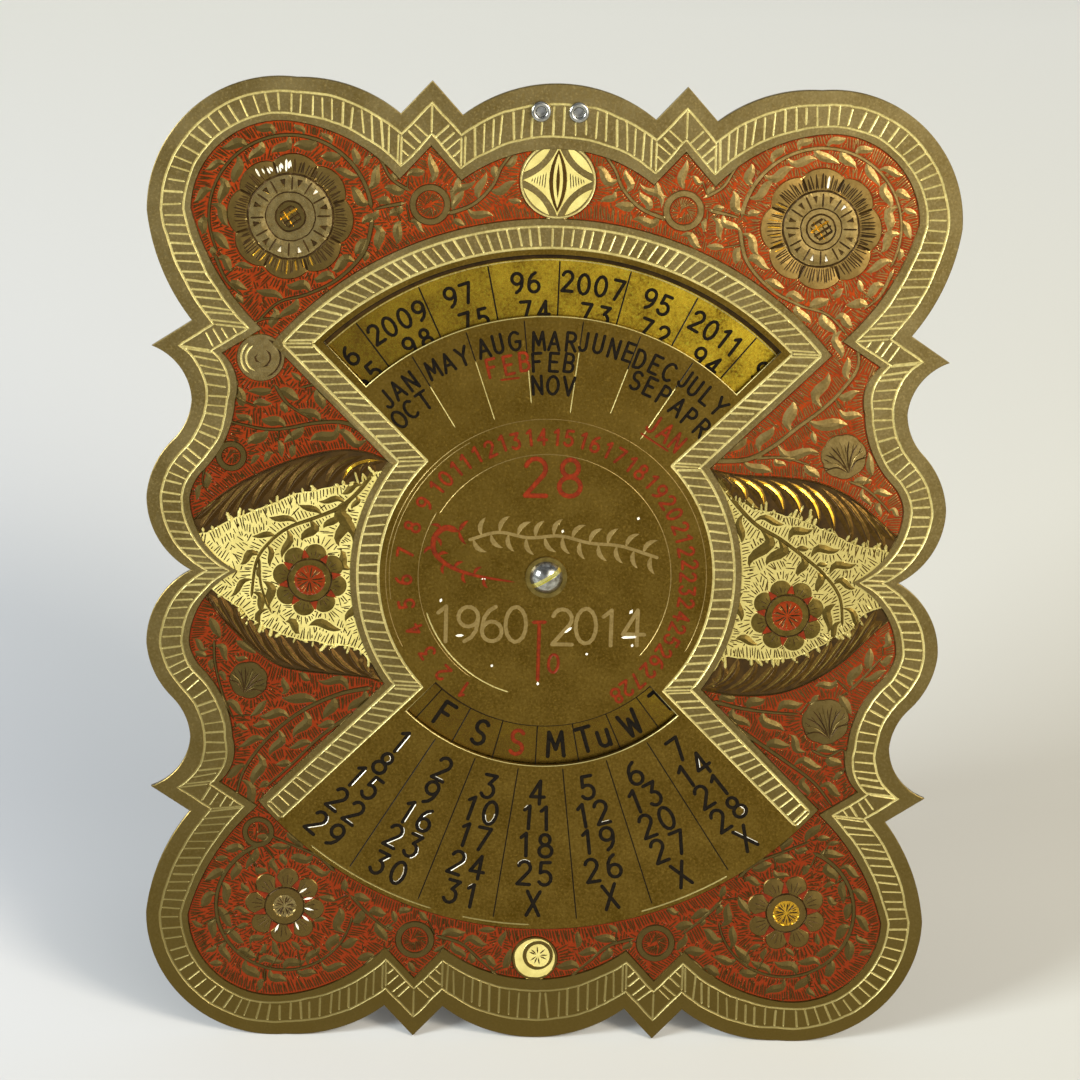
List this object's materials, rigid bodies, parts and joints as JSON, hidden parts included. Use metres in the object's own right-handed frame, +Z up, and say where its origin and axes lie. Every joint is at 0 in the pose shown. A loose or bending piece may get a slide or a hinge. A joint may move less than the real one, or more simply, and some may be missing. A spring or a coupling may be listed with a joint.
{
  "type": "perpetual desk calendar",
  "caption": "Free-standing perpetual calendar: engraved scalloped brass plate with two arc windows over a turning dial, held up by a hinged rear strut.",
  "frame": {"origin": "on the ground, under the centre of the standing calendar's box", "axes": "+Z up, -Y towards the viewer and the engraved front, +X to the viewer's right"},
  "size_m": [0.13, 0.0597, 0.1569],
  "materials": {
    "engraved_brass": "antique satin with red and cream lacquer in the carved fields",
    "dial_brass": "brushed, with black filled figures",
    "plain_brass": "satin, lightly aged",
    "nickel_plate": "polished, slightly dulled",
    "spring_steel": "satin"
  },
  "bodies": {
    "plate": {"front_plate": "engraved_brass", "pivot_screw": "nickel_plate", "head_washer": "nickel_plate", "spacer_washer": "plain_brass", "spring_washer": "spring_steel", "rear_washer": "plain_brass", "pivot_nut": "plain_brass", "lock_nut": "plain_brass", "fixed_leaf": "plain_brass", "hinge_pin": "spring_steel", "plate_rivet_left": "nickel_plate", "plate_rivet_right": "nickel_plate"},
    "dial": {"dial_disc": "dial_brass"},
    "leg": {"strut": "plain_brass", "moving_leaf": "plain_brass", "strut_rivet_left": "nickel_plate", "strut_rivet_right": "nickel_plate"}
  },
  "joints": [
    {"name": "dial_spin", "type": "hinge", "parent": "plate", "child": "dial", "pos_m": [0, -0.01321, 0.07846], "axis": [0, -0.9781, 0.2079], "continuous": true},
    {"name": "strut_fold", "type": "hinge", "parent": "plate", "child": "leg", "pos_m": [0, 0.00358, 0.14492], "axis": [1, 0, 0], "range_deg": [-17, 0]}
  ]
}
